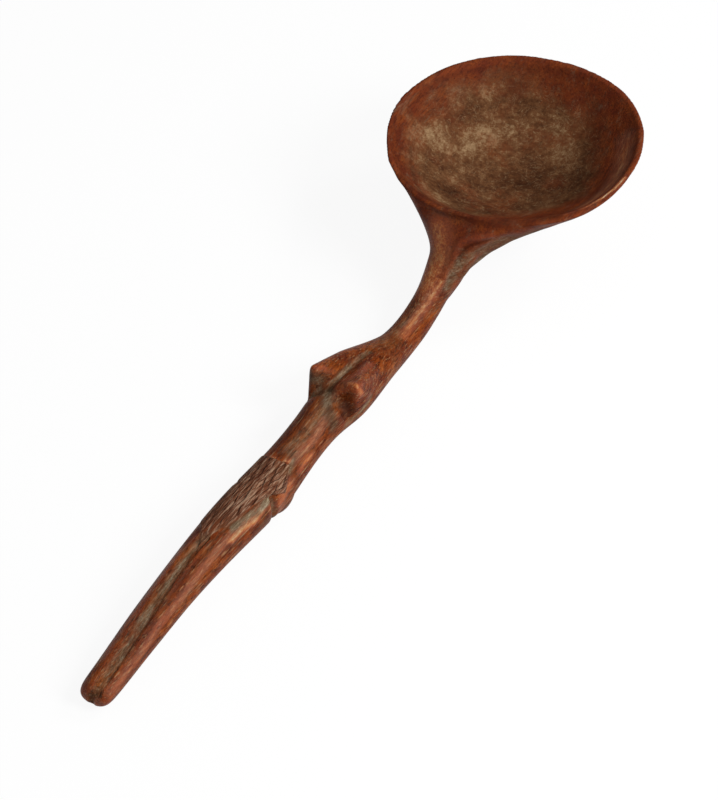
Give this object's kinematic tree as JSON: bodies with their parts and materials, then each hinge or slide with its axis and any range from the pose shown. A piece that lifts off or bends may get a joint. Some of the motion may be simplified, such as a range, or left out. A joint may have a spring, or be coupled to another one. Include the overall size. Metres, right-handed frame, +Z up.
{
  "type": "carved wooden spoon",
  "caption": "Long-handled wooden spoon with a round hollow bowl and a handle carved as a headless standing figure with an incised apron and grooved legs.",
  "frame": {"origin": "on the table that the spoon lies on, below the middle of its length and width", "axes": "+Y from the soles of the figure's legs to the bowl, +Z up from the table, out of the figure's front, +X to the right seen from the soles"},
  "size_m": [0.12, 0.4306, 0.0565],
  "materials": {
    "wood": "reddish hardwood, hand rubbed to a soft sheen on the ridges, dusty in the bowl and in the cuts"
  },
  "bodies": {
    "root": {"bowl": "wood", "neck": "wood", "chest": "wood", "left_breast": "wood", "right_breast": "wood", "waist": "wood", "hips": "wood", "apron": "wood", "left_leg": "wood", "right_leg": "wood"}
  },
  "joints": []
}
